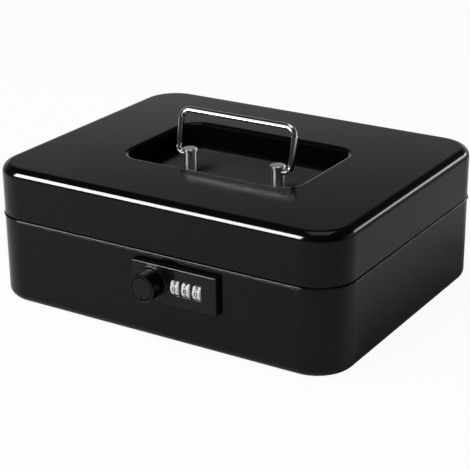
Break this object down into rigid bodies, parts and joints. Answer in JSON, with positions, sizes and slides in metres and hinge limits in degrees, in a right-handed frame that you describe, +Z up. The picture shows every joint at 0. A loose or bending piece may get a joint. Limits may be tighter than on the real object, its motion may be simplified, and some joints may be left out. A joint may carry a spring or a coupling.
{
  "type": "cash box",
  "caption": "Black steel cash box with a hinged lid, a chrome bail handle sunk in a well, and a combination lock with number wheels and a turning knob; a coin tray lifts out.",
  "frame": {"origin": "centre of the flat underside", "axes": "+X to the right along the front, -Y out of the front with the lock, +Z up"},
  "size_m": [0.2512, 0.2195, 0.1154],
  "materials": {
    "enamel": "satin black powder coat",
    "chrome": "bright plated",
    "lock_black": "satin black",
    "knob_black": "moulded, half gloss",
    "wheel_white": "moulded white with dark figures",
    "brass": "turned",
    "steel": "zinc plated",
    "case_black": "moulded",
    "tray_black": "moulded"
  },
  "bodies": {
    "base": {"body_shell": "enamel", "lock_plate": "lock_black", "lock_case": "case_black", "lock_screws": "steel", "wheel_axle": "steel", "code_sleeve_1": "brass", "code_sleeve_2": "brass", "code_sleeve_3": "brass", "detent_spring": "steel", "hinge_leaf_base_left": "steel", "hinge_leaf_base_right": "steel", "hinge_pin_left": "steel", "hinge_pin_right": "steel", "coin_tray": "tray_black", "tray_rest_left": "enamel", "tray_rest_right": "enamel"},
    "lid": {"lid_shell": "enamel", "hinge_leaf_lid_left": "steel", "hinge_leaf_lid_right": "steel", "handle_post_left": "chrome", "handle_post_right": "chrome", "post_nuts": "steel", "strike_plate": "steel"},
    "bail": {"handle_bail": "chrome"},
    "knob": {"lock_knob": "knob_black", "knob_spindle": "steel", "latch_cam": "steel", "cam_nut": "steel"},
    "fence": {"fence_bar": "steel"},
    "dial_1": {"dial_wheel_1": "wheel_white"},
    "dial_2": {"dial_wheel_2": "wheel_white"},
    "dial_3": {"dial_wheel_3": "wheel_white"}
  },
  "joints": [
    {"name": "lid_hinge", "type": "hinge", "parent": "base", "child": "lid", "pos_m": [0, 0.1016, 0.0576], "axis": [-1, 0, 0], "range_deg": [0, 110]},
    {"name": "bail_fold", "type": "hinge", "parent": "lid", "child": "bail", "pos_m": [0, -0.006, 0.085], "axis": [-1, 0, 0], "range_deg": [-112, 88]},
    {"name": "knob_turn", "type": "hinge", "parent": "base", "child": "knob", "pos_m": [0.0037, -0.1, 0.0394], "axis": [0, -1, 0], "range_deg": [0, 90]},
    {"name": "fence_lift", "type": "slide", "parent": "base", "child": "fence", "axis": [0, 0, 1], "range_m": [0, 0.00262]},
    {"name": "dial_1_spin", "type": "hinge", "parent": "base", "child": "dial_1", "pos_m": [0.0204, -0.1002, 0.0394], "axis": [1, 0, 0], "continuous": true},
    {"name": "dial_2_spin", "type": "hinge", "parent": "base", "child": "dial_2", "pos_m": [0.0281, -0.1002, 0.0394], "axis": [1, 0, 0], "continuous": true},
    {"name": "dial_3_spin", "type": "hinge", "parent": "base", "child": "dial_3", "pos_m": [0.0358, -0.1002, 0.0394], "axis": [1, 0, 0], "continuous": true}
  ],
  "couplings": [
    {"joint": "fence_lift", "follows": "knob_turn", "m_per_rad": 0.0016566}
  ]
}
